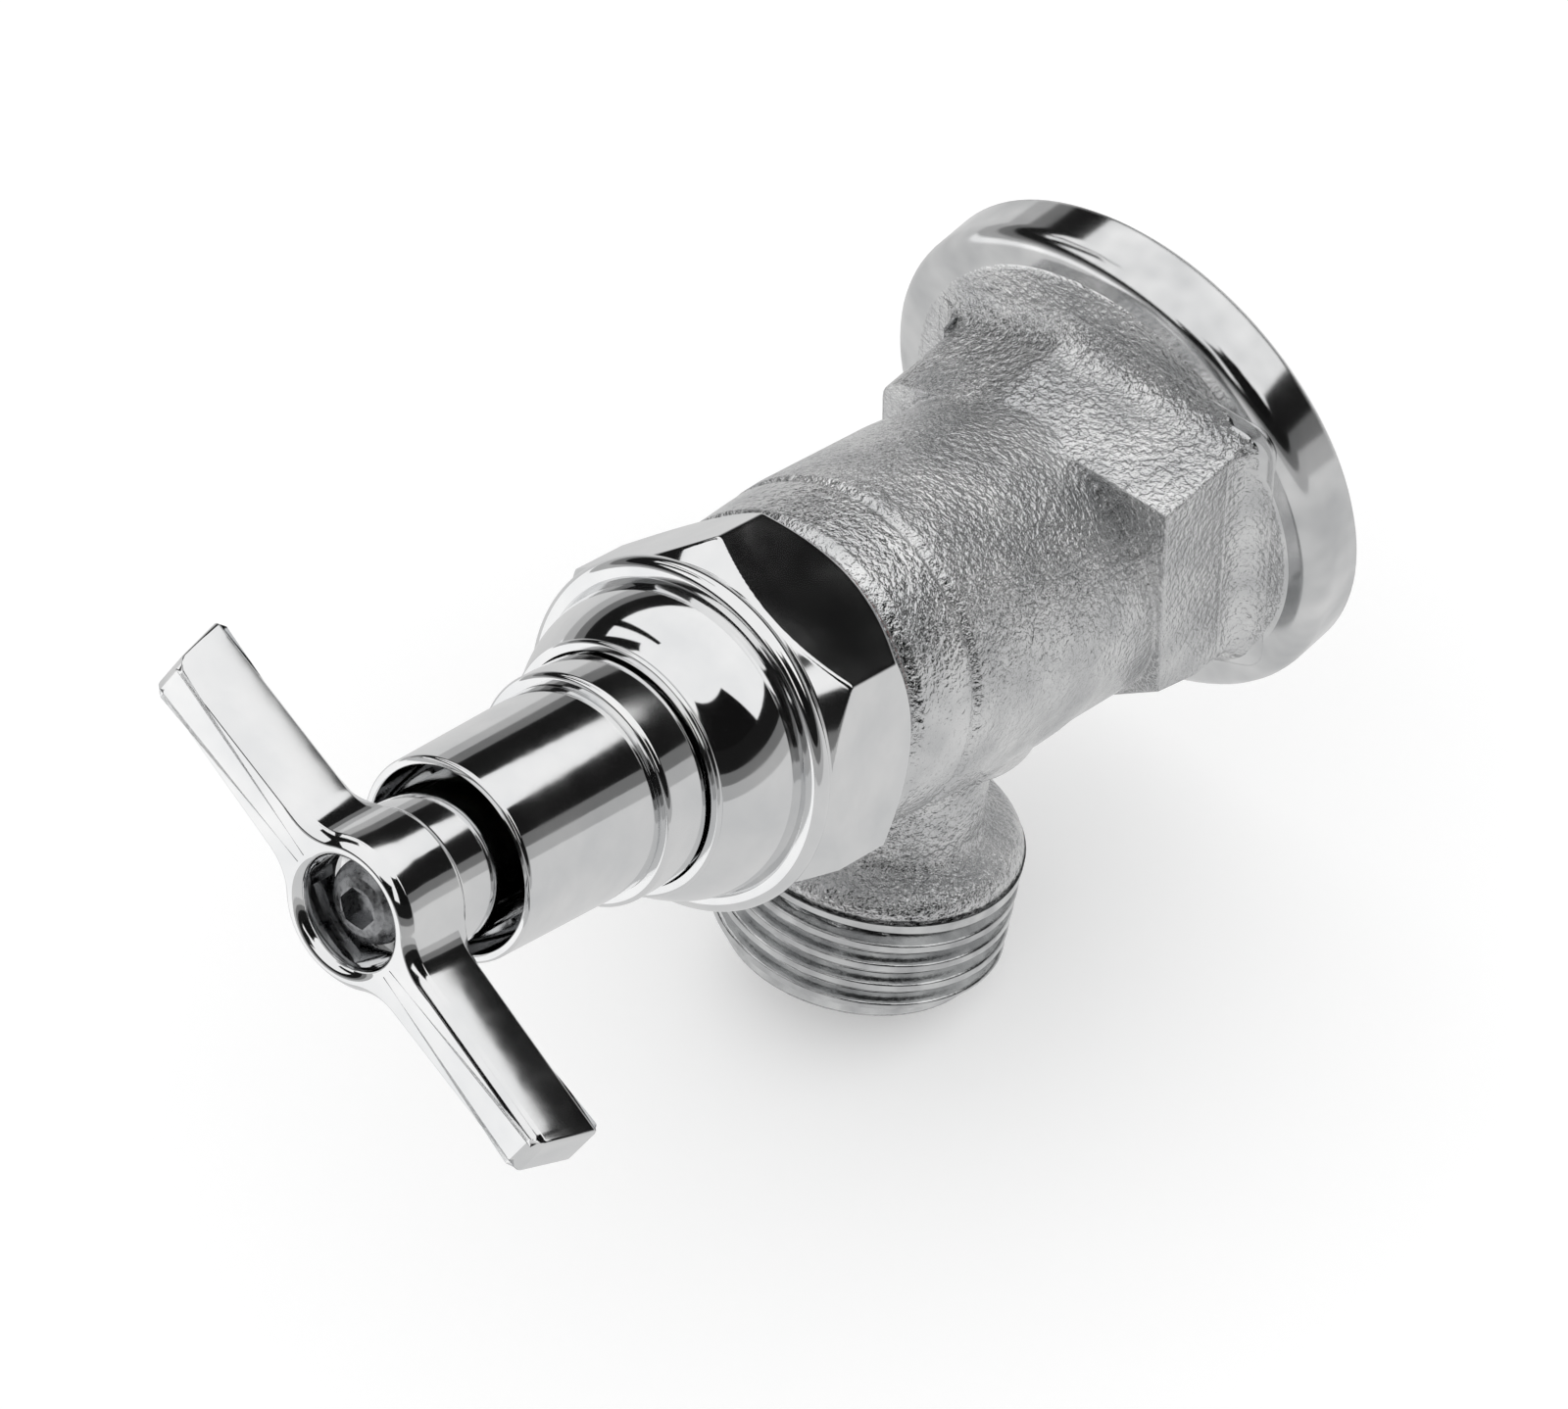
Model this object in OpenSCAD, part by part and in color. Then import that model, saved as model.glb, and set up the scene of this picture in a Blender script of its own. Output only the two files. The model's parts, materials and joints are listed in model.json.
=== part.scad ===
// Wall-mounted sill faucet with a cast body, a compression valve and a tee handle.
// The origin is the centre of the inlet at the back face of the flange.
// +Y runs into the wall, +Z is up. Places named _at are distances along the stem axis,
// counted from the point where that axis crosses the wall face.

/* [Layout] */
// Angle that the stem axis rises towards the handle
stem_rise = 17.5; // [12:0.5:22]
// Distance from the wall face to the point where the stem and inlet axes cross
axes_cross = 22.5; // [21:0.5:24]
// Place of the outlet axis along the stem axis
outlet_at = 31.2; // [30.5:0.1:32.5]
// Angle that the outlet leans out from the wall
outlet_lean = 15; // [10:0.5:18]

/* [Flange and inlet] */
// Diameter of the wall flange
flange_d = 48.6; // [46:0.1:56]
// Thickness of the wall flange
flange_t = 6.1; // [5:0.1:6.4]
// Radius of the flange's rounded front edge
flange_edge = 1.8; // [1.2:0.1:2.6]
// Diameter of the inlet bore, tapped for half-inch pipe
inlet_d = 19.2; // [18:0.1:20]
// Depth of the inlet bore
inlet_depth = 14; // [12:0.5:15]

/* [Wrench boss] */
// Distance from the inlet axis to each side flat
boss_half_w = 16; // [15:0.1:17]
// Height of the top flat above the inlet axis
boss_top = 13.7; // [13:0.1:14.5]
// Depth of the underside below the inlet axis
boss_bottom = 13.7; // [13:0.1:15]
// Distance from the wall face to the front of the boss
boss_len = 17.2; // [16:0.1:18]
// Radius of the cast fillet between the boss and the flange
boss_fillet = 2.8; // [1.5:0.1:3]
// Place along the boss where its lower corner starts to slope up
corner_from = 10.3; // [9:0.1:12]
// Radius of the boss's worn cast corners
boss_corner = 3; // [1:0.5:4]

/* [Valve chamber] */
// Outer diameter of the valve chamber
chamber_d = 31.5; // [30.5:0.5:33]
// Outer diameter of the chamber where it leaves the boss
chamber_rear_d = 30.4; // [29:0.1:31]
// Outer diameter at the chamber's mouth
mouth_d = 30.2; // [29.5:0.1:31]
// Place of the chamber's mouth
mouth_at = 52; // [50:0.5:54]
// Distance from the mouth back to the turned line round the chamber
line_back = 7.2; // [5:0.1:9]
// Depth of that turned line
line_deep = 0.45; // [0.3:0.05:0.8]
// Diameter of the chamber's bore
chamber_bore = 22.6; // [21:0.2:23]
// Place of the deck that the valve seat is screwed into
deck_at = 26.6; // [26:0.1:27.4]
// Diameter of the waterway between the inlet and the seat
port_d = 12; // [10:0.5:12.5]

/* [Outlet] */
// Outer diameter of the outlet's neck
neck_d = 17.4; // [17:0.1:18.4]
// Radius of the cast fillet between the chamber and the neck
neck_fillet = 5; // [3:0.5:6]
// Diameter of the neck's waterway
neck_bore = 12; // [11:0.5:12.5]
// Outer diameter of the hose thread
hose_d = 26.97; // [26.4:0.01:27.2]
// Pitch of the hose thread
hose_pitch = 2.209; // [2:0.001:2.4]
// Number of full ridges on the hose thread
hose_ridges = 5; // [4:1:5]
// Depth of the hose thread
hose_deep = 1.2; // [0.8:0.05:1.4]
// Distance from the stem axis down to the shoulder over the hose thread
shoulder_drop = 23.4; // [22.5:0.1:24]
// Distance from the stem axis down to the outlet's end
outlet_drop = 37.4; // [37.2:0.1:39]
// Diameter of the bore inside the hose thread
spigot_bore = 20; // [18:0.5:21]

/* [Valve seat] */
// Outer diameter of the seat's threaded shank
seat_d = 15.4; // [14:0.1:15.8]
// Length of the seat's threaded shank
seat_len = 5; // [4:0.5:5.5]
// Diameter of the seat's flange
seat_flange_d = 19; // [18:0.1:19.5]
// Thickness of the seat's flange
seat_flange_t = 1.8; // [1.4:0.1:2]
// Diameter of the hole through the seat
seat_hole = 10; // [8:0.5:10.5]
// Height of the raised lip that the washer closes on
seat_lip = 0.9; // [0.6:0.1:1.2]
// Thickness of the soft ring under the seat's flange
seat_ring_t = 0.7; // [0.5:0.1:0.9]

/* [Valve disc] */
// Diameter of the soft washer
washer_d = 16.4; // [15.5:0.1:17]
// Thickness of the soft washer
washer_t = 3.2; // [2.5:0.1:3.5]
// Wall of the cup that holds the washer
cup_wall = 1; // [0.8:0.1:1.4]
// Thickness of the cup's floor
cup_floor = 2; // [1.5:0.1:2.5]
// Depth that the cup's rim reaches over the washer
cup_rim = 2; // [1.5:0.1:2.2]
// Diameter of the swivel post on the cup
post_d = 5.4; // [5:0.1:5.8]
// Length of the swivel post's neck
post_len = 3.8; // [3:0.1:4.5]
// Diameter of the swivel post's swaged head
post_head_d = 7.2; // [6.8:0.1:7.6]
// Thickness of the swivel post's head
post_head_t = 2; // [1.5:0.1:2.4]
// Diameter of the screw that holds the washer
washer_screw_d = 3.4; // [3:0.1:3.8]
// Diameter of that screw's head
washer_screw_head = 6.6; // [6:0.1:7]
// Thickness of that screw's head
washer_screw_head_t = 1.7; // [1.3:0.1:2]

/* [Stem] */
// Diameter of the collar at the stem's lower end
stem_foot_d = 11.6; // [11.2:0.1:12.2]
// Outer diameter of the stem's operating thread
stem_thread_d = 12.8; // [12.4:0.1:13.4]
// Length of the stem's operating thread
stem_thread_len = 12.5; // [11:0.5:13]
// Diameter of the polished stem through the packing
stem_d = 9.8; // [9.4:0.1:10.2]
// Side of the square that drives the handle
square_w = 6.8; // [6.4:0.1:6.9]
// Travel of the valve from shut to fully open
valve_travel = 5.6; // [4.5:0.1:5.8]

/* [Cap nut] */
// Width across the flats of the hexagon
hex_flats = 30; // [29:0.5:31]
// Turn of the hexagon about the stem axis as it stands when tight
hex_turn = 40.5; // [0:0.5:60]
// Length of the hexagon
hex_len = 12.4; // [11:0.2:13]
// Length of the chamfer at the back of the hexagon's corners
hex_back = 3.6; // [2:0.1:4.5]
// Length of the chamfer at the front of the hexagon's corners
hex_front = 2.3; // [1.5:0.1:3]
// Diameter of the turned ring in front of the hexagon
ring_d = 31.8; // [31.2:0.1:32.4]
// Width of that ring
ring_w = 1.9; // [1.4:0.1:2.4]
// Diameter of the dome where it starts at the ring
dome_d = 28; // [27:0.1:28.6]
// Length of the dome
dome_len = 8; // [7.5:0.1:9]
// Diameter of the lip round the collar at the dome's front
lip_d = 22.9; // [22.2:0.1:23.6]
// Outer diameter of the thread that screws into the chamber
cap_thread_d = 25; // [24.4:0.1:25.6]
// Length of that thread
cap_thread_len = 10; // [8:0.5:11]
// Thickness of the gasket under the cap nut
gasket_t = 0.6; // [0.4:0.1:1]
// Diameter of the packing box
box_d = 16.4; // [15.6:0.1:17]
// Length of the thread in the cap nut that carries the stem
guide_len = 16; // [13:0.5:17]

/* [Packing] */
// Thickness of the packing washer
packing_washer_t = 1; // [0.8:0.1:1.4]
// Height of each packing ring
packing_h = 1.8; // [1.4:0.1:2]
// Height of the gland ring on the packing
gland_h = 1.6; // [1.2:0.1:2]

/* [Gland nut and barrel] */
// Outer diameter of the collar
collar_d = 20.8; // [20.2:0.1:21.6]
// Length of the collar
collar_len = 4.6; // [3.9:0.1:5]
// Outer diameter of the barrel at the collar
barrel_rear_d = 18.7; // [18.4:0.1:19.4]
// Outer diameter of the barrel at its open front
barrel_front_d = 18.1; // [17.8:0.1:18.4]
// Length of the barrel
barrel_len = 16; // [14:0.2:17]
// Diameter of the recess in the barrel's front
recess_d = 16.5; // [16.1:0.1:16.7]
// Outer diameter of the spigot that carries the barrel
spigot_d = 14.6; // [14:0.1:15]
// Length of that spigot
spigot_len = 6.6; // [6:0.1:7]
// Wall of the snap ring that holds the barrel on its spigot
snap_w = 1.1; // [0.9:0.1:1.4]
// Thickness of the snap ring
snap_t = 0.9; // [0.7:0.1:1]
// Thickness of the ring seal on the stem inside the gland nut
seal_d = 2; // [1.6:0.1:2.2]

/* [Tee handle] */
// Length of the tee handle from tip to tip, at the back of its arms
tee_span = 52.2; // [48:0.2:56]
// Slope of the arms' ends, which makes them shorter at the front
tip_slope = 14; // [0:1:16]
// Turn of the tee handle about the stem axis as the valve is shut
tee_turn = -25.6; // [-90:0.2:90]
// Width of the arms near the hub
arm_root_w = 5.8; // [5:0.1:6.2]
// Width of the arms at their tips
arm_tip_w = 4.8; // [3.8:0.1:5]
// Depth of the arms along the stem axis
arm_depth = 6.7; // [6:0.1:7.2]
// Width of the bevel along the arms' edges
arm_bevel = 0.9; // [0.5:0.1:1.2]
// Diameter of the hub in line with the arms
hub_d = 13.8; // [13.2:0.1:14.6]
// Radius of the blend between the hub and the arms
hub_blend = 4.5; // [3:0.1:7]
// Diameter of the hub's shank that enters the barrel
shank_d = 13.4; // [11.8:0.1:13.6]
// Length of that shank
shank_len = 12.6; // [12.2:0.1:13.4]
// Gap between the barrel and the arms when the valve is shut
arm_gap = 5.8; // [5.6:0.1:7]
// Diameter of the screw recess in the hub's front
recess_screw_d = 9.6; // [9.2:0.1:10.4]
// Depth of that recess
recess_screw_deep = 4.4; // [3.8:0.1:5]
// Width of the rounded rim of that recess
recess_rim = 1.1; // [0.6:0.1:1.3]
// Thickness of the wall under the screw
screw_wall = 1.6; // [1.2:0.1:2]
// Diameter of the handle screw
screw_d = 4; // [3.6:0.1:4.4]
// Length of the handle screw under its head
screw_len = 11; // [9:0.5:12]
// Diameter of the handle screw's domed head
screw_head_d = 7.4; // [7:0.1:8]
// Height of the handle screw's head
screw_head_h = 2.4; // [2:0.1:2.8]
// Thickness of the lock washer
lock_t = 0.6; // [0.4:0.1:0.8]

/* [Clearances] */
// Radial clearance of turning and sliding fits
run_gap = 0.05; // [0.03:0.01:0.08]
// Radial clearance of pieces that are fixed together
fix_gap = 0.05; // [0.02:0.01:0.08]
// Gap between the washer and the seat's lip when shut
shut_gap = 0.1; // [0.05:0.05:0.3]
// Clearance round parts that must not touch
free_gap = 0.4; // [0.3:0.05:0.5]

/* [Hidden] */
$fn = 96;

// The stem axis crosses the wall face this far above the inlet axis
stem_foot_z = -axes_cross * tan(stem_rise);
far = 0.01;

// Stack of places along the stem axis, from the seat to the handle
seat_top = deck_at + seat_ring_t + seat_flange_t;
washer_at = seat_top + seat_lip + shut_gap;
cup_at = washer_at + washer_t;
stem_at = cup_at + cup_floor + free_gap;
post_end = stem_at + post_len + post_head_t;
thread_at = post_end + 1.4;
hex_at = mouth_at + gasket_t;
ring_at = hex_at + hex_len;
dome_at = ring_at + ring_w * 0.55;
lip_at = dome_at + dome_len;
collar_at = lip_at + 0.5;
barrel_at = collar_at + collar_len;
barrel_end = barrel_at + barrel_len;
arm_at = barrel_end + arm_gap;
hub_end = arm_at + arm_depth;
shank_at = arm_at - shank_len;
screw_seat = hub_end - recess_screw_deep;
square_end = screw_seat - screw_wall - free_gap;
box_floor = ring_at - 0.2;
guide_end = box_floor - 2.2;
packing_at = box_floor + packing_washer_t;
gland_at = packing_at + 2 * packing_h;
gland_nut_at = gland_at + gland_h;

chamber_r = chamber_d / 2;
hose_r = hose_d / 2;
hose_root_r = hose_r - hose_deep;
hose_start = shoulder_drop + 3;
hose_end = hose_start + (hose_ridges - 0.58) * hose_pitch;
hex_r = hex_flats / 2 / cos(30);

// Points of an arc about a centre, from angle a to angle b
function arc(centre, r, a, b, n = 6) =
    [for (i = [0:n]) centre + r * [cos(a + (b - a) * i / n), sin(a + (b - a) * i / n)]];

// Outline whose corners are rounded, each with its own radius
function rounded(pts, radii, n = 5) = [
    for (i = [0:len(pts) - 1])
        let (p = pts[i],
             u = unit(pts[(i + len(pts) - 1) % len(pts)] - p),
             v = unit(pts[(i + 1) % len(pts)] - p),
             half = acos(u * v) / 2,
             centre = p + unit(u + v) * radii[i] / sin(half),
             turn = cross(u, v) > 0 ? 1 : -1,
             start = atan2(-unit(u + v)[1], -unit(u + v)[0]) + turn * (90 - half))
        for (k = [0:n])
            centre + radii[i] * [cos(start - turn * 2 * (90 - half) * k / n),
                                 sin(start - turn * 2 * (90 - half) * k / n)]];

function unit(v) = v / norm(v);

// Puts a shape drawn along +Z on the stem axis, its own +Y turned up
module on_stem() {
    translate([0, 0, stem_foot_z]) rotate([90 - stem_rise, 0, 0]) children();
}

// Puts a shape drawn along +Z on the outlet axis, pointing out of the outlet
module on_outlet() {
    on_stem() translate([0, 0, outlet_at]) rotate([90 + stem_rise - outlet_lean, 0, 0]) children();
}

// Puts a shape drawn along +Z on the inlet axis, pointing out of the wall
module on_inlet() {
    rotate([90, 0, 0]) children();
}

// Turned solid from points that are each a radius and a place along the axis
module turned(points) {
    rotate_extrude() polygon(points);
}

// Ring of rectangular section between two places along the axis
module ring(outer_r, inner_r, from, to) {
    turned([[inner_r, from], [outer_r, from], [outer_r, to], [inner_r, to]]);
}

// Wall flange with a rounded front edge
module flange() {
    r = flange_d / 2;
    on_inlet() turned(concat(
        [[0, 0], [r - 0.5, 0], [r, 0.5]],
        arc([r - flange_edge, flange_t - flange_edge], flange_edge, 0, 90),
        [[0, flange_t]]));
}

// Outline of the cast boss: a sharp upper corner on one side, worn corners elsewhere
function boss_outline() =
    let (w = boss_half_w, t = boss_top, b = boss_bottom)
    rounded([[w, t], [-w * 0.25, t], [-w, t * 0.64], [-w, -b * 0.66], [-w * 0.3, -b],
             [w * 0.7, -b], [w, -b * 0.83]],
            [0.4, boss_corner, boss_corner, boss_corner, boss_corner, boss_corner, 0.8]);

// Concave cast fillet along one flat of the boss, of the given length
module flat_fillet(length) {
    f = boss_fillet;
    rotate([90, 0, 90]) linear_extrude(length, center = true)
        difference() {
            translate([-far, -far]) square([f + far, f + far]);
            translate([f, f]) circle(f, $fn = 48);
        }
}

module boss() {
    t = boss_top;
    w = boss_half_w;
    on_inlet() {
        difference() {
            linear_extrude(boss_len) polygon(boss_outline());
            translate([w, -boss_bottom * 0.855, corner_from]) rotate([-108, 0, 39.7])
                translate([-25, -25, -20]) cube([50, 50, 20]);
        }
        for (side = [-1, 1])
            translate([0, side * t, flange_t]) rotate([0, 0, side > 0 ? 0 : 180])
                translate([side > 0 ? w * 0.375 : -w * 0.2, 0, 0])
                    flat_fillet(side > 0 ? w * 1.25 : w);
        translate([w, t * 0.085, flange_t]) rotate([0, 0, -90])
            flat_fillet(t + boss_bottom * 0.83);
        translate([-w, 0, flange_t]) rotate([0, 0, 90]) flat_fillet(t * 0.64 + boss_bottom * 0.66);
    }
}

// Cast shell round the valve, with a turned line behind its mouth
module chamber() {
    r = chamber_r;
    m = mouth_d / 2;
    line_at = mouth_at - line_back;
    rear = chamber_rear_d / 2;
    on_stem() turned([
        [0, 8], [rear - 1.2, 8], [rear, 15], [rear + 0.15, 24], [r - 0.1, 27], [r, 29],
        [r, line_at - 2.2], [r - 0.1, line_at - 0.75], [r - 0.1 - line_deep, line_at - 0.25],
        [r - 0.1 - line_deep, line_at + 0.15], [r - 0.25, line_at + 0.5],
        [r - 0.4, line_at + 2.4], [m, line_at + 5], [m - 0.1, mouth_at - 0.8],
        [m - 0.9, mouth_at], [0, mouth_at]]);
}

// Ridges of the hose thread, each with a crest land of true thread diameter
function hose_profile() = [
    for (i = [0:hose_ridges - 1])
        let (z = hose_start + i * hose_pitch)
        each [[i == 0 ? hose_r : hose_root_r, z - hose_pitch * 0.42],
              [hose_r, z - hose_pitch * 0.12], [hose_r, z + hose_pitch * 0.12],
              [hose_root_r, z + hose_pitch * 0.42]]];

module outlet() {
    n = neck_d / 2;
    f = neck_fillet;
    s = shoulder_drop;
    on_outlet() turned(concat(
        [[0, 6], [n + f, 6]],
        arc([n + f, chamber_r + f * 0.1], f, -110, -180, 7),
        arc([n + 1.5, s - 1.3], 1.1, 180, 90, 3),
        arc([hose_r - 2.4, s + 2.4], 2.3, -70, 0, 6),
        hose_profile(),
        [[hose_r - 0.5, hose_end + 0.5], [hose_r - 0.5, outlet_drop - 0.4],
         [hose_r - 1, outlet_drop], [0, outlet_drop]]));
}

// Everything that is bored, tapped and counterbored in the casting
module waterway() {
    on_inlet() {
        translate([0, 0, -1]) cylinder(d = inlet_d, h = inlet_depth + 1);
        cylinder(d = port_d + 1, h = inlet_depth + 4);
    }
    on_stem() {
        translate([0, 0, inlet_depth]) cylinder(d = port_d, h = deck_at - inlet_depth);
        translate([0, 0, deck_at - seat_len - 0.4])
            cylinder(d = seat_d + 2 * fix_gap, h = seat_len + 1);
        translate([0, 0, deck_at]) cylinder(d = chamber_bore, h = mouth_at);
        translate([0, 0, mouth_at - cap_thread_len - 1])
            cylinder(d = cap_thread_d + 2 * fix_gap, h = cap_thread_len + 2);
    }
    on_outlet() {
        translate([0, 0, chamber_bore / 2 - 1.7]) cylinder(d = neck_bore, h = outlet_drop);
        translate([0, 0, shoulder_drop + 4]) cylinder(d = spigot_bore, h = outlet_drop);
        translate([0, 0, shoulder_drop + 1])
            cylinder(d1 = neck_bore - far, d2 = spigot_bore, h = 3 + far);
    }
}

// One casting: flange, wrench boss, valve chamber and outlet
module body() {
    color("#9b9b9b") difference() {
        union() {
            flange();
            boss();
            chamber();
            outlet();
        }
        waterway();
    }
}

// Renewable seat screwed into the deck, with a raised lip
module seat() {
    r = seat_hole / 2;
    f = seat_flange_d / 2;
    base = deck_at + seat_ring_t;
    color("#c79a3f") on_stem() turned([
        [r, deck_at - seat_len], [seat_d / 2 - 0.5, deck_at - seat_len],
        [seat_d / 2, deck_at - seat_len + 0.5], [seat_d / 2, base], [f, base], [f, seat_top - 0.3],
        [f - 0.3, seat_top], [r + 2.4, seat_top], [r + 1.4, seat_top + seat_lip],
        [r + 0.9, seat_top + seat_lip], [r, seat_top]]);
}

// Soft ring pinched under the seat's flange
module seat_ring() {
    color("#7a2f22") on_stem()
        ring(seat_flange_d / 2 - 0.2, seat_d / 2 + fix_gap, deck_at, deck_at + seat_ring_t);
}

// Soft washer that shuts on the seat
module valve_washer() {
    r = washer_d / 2;
    color("#222222") on_stem() turned([
        [washer_screw_d / 2 + fix_gap, washer_at], [r - 0.6, washer_at], [r, washer_at + 0.6],
        [r, cup_at], [washer_screw_d / 2 + fix_gap, cup_at]]);
}

// Cup that holds the washer and swivels on the stem's foot
module washer_cup() {
    inner = washer_d / 2 + fix_gap;
    outer = inner + cup_wall;
    hole = washer_screw_d / 2 + fix_gap;
    p = post_d / 2;
    h = post_head_d / 2;
    neck_end = stem_at + post_len;
    color("#c79a3f") on_stem() turned([
        [hole, cup_at], [inner, cup_at], [inner, cup_at - cup_rim], [outer, cup_at - cup_rim],
        [outer, cup_at + cup_floor - 0.6], [outer - 0.6, cup_at + cup_floor],
        [p, cup_at + cup_floor], [p, neck_end + run_gap * 2], [h, neck_end + run_gap * 2],
        [h, neck_end + post_head_t - 0.4], [h - 0.4, neck_end + post_head_t],
        [hole, neck_end + post_head_t]]);
}

// Screw through the washer into the cup's post
module washer_screw() {
    head = washer_screw_head / 2;
    shank = washer_screw_d / 2;
    t = washer_screw_head_t;
    color("#b5892f") on_stem() difference() {
        turned([[0, washer_at - t], [head - 0.7, washer_at - t], [head, washer_at - t + 0.6],
                [head, washer_at], [shank, washer_at], [shank, stem_at + post_len],
                [shank - 0.5, stem_at + post_len + 0.5], [0, stem_at + post_len + 0.5]]);
        translate([-head, -0.4, washer_at - t - 1]) cube([2 * head, 0.8, 1.8]);
    }
}

// Stem with its operating thread, polished shank and driving square
module stem() {
    foot = stem_foot_d / 2;
    thread = stem_thread_d / 2;
    shank = stem_d / 2;
    thread_end = thread_at + stem_thread_len;
    square_at = shank_at + 0.7;
    color("#c9a24a") on_stem() difference() {
        union() {
            turned([
                [0, stem_at], [foot - 0.5, stem_at], [foot, stem_at + 0.5], [foot, thread_at - 0.6],
                [thread - 0.7, thread_at - 0.6], [thread, thread_at], [thread, thread_end],
                [shank, thread_end + 1], [shank, square_at], [shank - 0.5, square_at + 0.5],
                [0, square_at + 0.5]]);
            translate([-square_w / 2, -square_w / 2, square_at - 1])
                cube([square_w, square_w, square_end - square_at + 1]);
        }
        translate([0, 0, stem_at - 1]) cylinder(d = post_d + 2 * run_gap, h = post_len + 2);
        translate([0, 0, stem_at + post_len])
            cylinder(d = post_head_d + 2 * free_gap, h = post_head_t + free_gap);
        translate([0, 0, screw_seat + lock_t - screw_len - 1])
            cylinder(d = screw_d + 2 * fix_gap, h = screw_len);
    }
}

// Chamfered hexagon with a turned ring, a dome and the packing box
module cap_nut() {
    r = ring_d / 2;
    d = dome_d / 2;
    lip = lip_d / 2;
    w = ring_w / 2;
    thread_from = mouth_at - cap_thread_len;
    flat_r = hex_flats / 2;
    color("#e6e8ea") on_stem() difference() {
        union() {
            intersection() {
                rotate([0, 0, hex_turn]) translate([0, 0, hex_at])
                    cylinder(r = hex_r, h = hex_len + w, $fn = 6);
                turned([[0, hex_at], [flat_r - 0.3, hex_at], [hex_r - 0.1, hex_at + hex_back],
                        [hex_r - 0.1, ring_at - 1.4 - hex_front], [flat_r - 0.1, ring_at - 1.4],
                        [flat_r - 0.1, ring_at + w], [0, ring_at + w]]);
            }
            turned(concat(
                [[0, ring_at - 1], [r - w, ring_at - w * 0.6]],
                arc([r - w, ring_at + w * 0.4], w, -80, 90, 8),
                [[d + 0.35, ring_at + w * 1.4], [d + 0.1, dome_at]],
                dome_profile(d, lip),
                [[lip - 0.9, lip_at], [lip - 1.2, lip_at - 0.5], [0, lip_at - 0.5]]));
            turned([[0, thread_from], [cap_thread_d / 2 - 0.8, thread_from],
                    [cap_thread_d / 2, thread_from + 0.8], [cap_thread_d / 2, hex_at + 1],
                    [0, hex_at + 1]]);
        }
        translate([0, 0, thread_from - 1])
            cylinder(d = stem_thread_d + 3, h = guide_end - guide_len - thread_from + 1);
        translate([0, 0, thread_from])
            cylinder(d = stem_thread_d + 2 * run_gap, h = guide_end - thread_from);
        cylinder(d = stem_d + 2 * run_gap, h = lip_at + 1);
        translate([0, 0, box_floor]) cylinder(d = box_d, h = lip_at);
    }
}

// Dome from the ring to the lip: an elliptical quarter and a small rolled edge
function dome_profile(d, lip) =
    let (rise = dome_len - 0.7)
    concat([for (i = [1:10]) let (a = 62 * i / 10)
                [lip - 0.2 + (d - lip + 0.1) * cos(a * 1.45), dome_at + rise * sin(a) / sin(62)]],
           [[lip, lip_at - 0.5], [lip - 0.3, lip_at]]);

// Gasket between the chamber's mouth and the cap nut
module cap_gasket() {
    color("#7a2f22") on_stem()
        ring(mouth_d / 2 - 1.1, cap_thread_d / 2 + fix_gap, mouth_at, hex_at);
}

module packing_washer() {
    color("#c79a3f") on_stem()
        ring(box_d / 2 - fix_gap, stem_d / 2 + run_gap, box_floor, packing_at);
}

// One of the two rings of graphite packing, with a rounded outer edge
module packing(from) {
    r = box_d / 2 - fix_gap;
    color("#2d2d2d") on_stem() turned([
        [stem_d / 2 + run_gap, from], [r - 0.3, from], [r, from + 0.3], [r, from + packing_h - 0.3],
        [r - 0.3, from + packing_h], [stem_d / 2 + run_gap, from + packing_h]]);
}

module packing_inner() {
    packing(packing_at);
}

module packing_outer() {
    packing(packing_at + packing_h);
}

// Brass ring that spreads the gland nut's load on the packing
module gland_ring() {
    r = box_d / 2 - fix_gap;
    color("#c79a3f") on_stem() turned([
        [stem_d / 2 + run_gap, gland_at], [r, gland_at], [r, gland_nut_at - 0.4],
        [r - 0.4, gland_nut_at], [stem_d / 2 + run_gap, gland_nut_at]]);
}

// Collar that screws into the packing box and carries the barrel on its spigot
module gland_nut() {
    c = collar_d / 2;
    s = spigot_d / 2;
    t = box_d / 2 - fix_gap;
    spigot_end = barrel_at + spigot_len;
    groove_at = spigot_end - snap_t - 1;
    seal_at = collar_at + collar_len / 2 - seal_d / 2;
    color("#e6e8ea") on_stem() difference() {
        turned([
            [stem_d / 2 + run_gap, gland_nut_at], [t - 0.5, gland_nut_at], [t, gland_nut_at + 0.5],
            [t, collar_at - 0.3], [c - 0.5, collar_at - 0.3], [c, collar_at + 0.2],
            [c, barrel_at - 0.6], [c - 0.6, barrel_at], [s, barrel_at], [s, groove_at],
            [s - snap_w / 2, groove_at], [s - snap_w / 2, groove_at + snap_t],
            [s, groove_at + snap_t], [s, spigot_end - 0.3], [s - 0.3, spigot_end],
            [stem_d / 2 + run_gap, spigot_end]]);
        translate([0, 0, seal_at]) cylinder(d = stem_d + 2 * seal_d * 0.86, h = seal_d);
    }
}

// Ring seal round the stem, in the gland nut's inner groove
module stem_seal() {
    r = seal_d * 0.4;
    color("#1b1b1b") on_stem()
        translate([0, 0, collar_at + collar_len / 2])
            rotate_extrude() translate([stem_d / 2 + run_gap + r, 0]) circle(r, $fn = 32);
}

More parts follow.
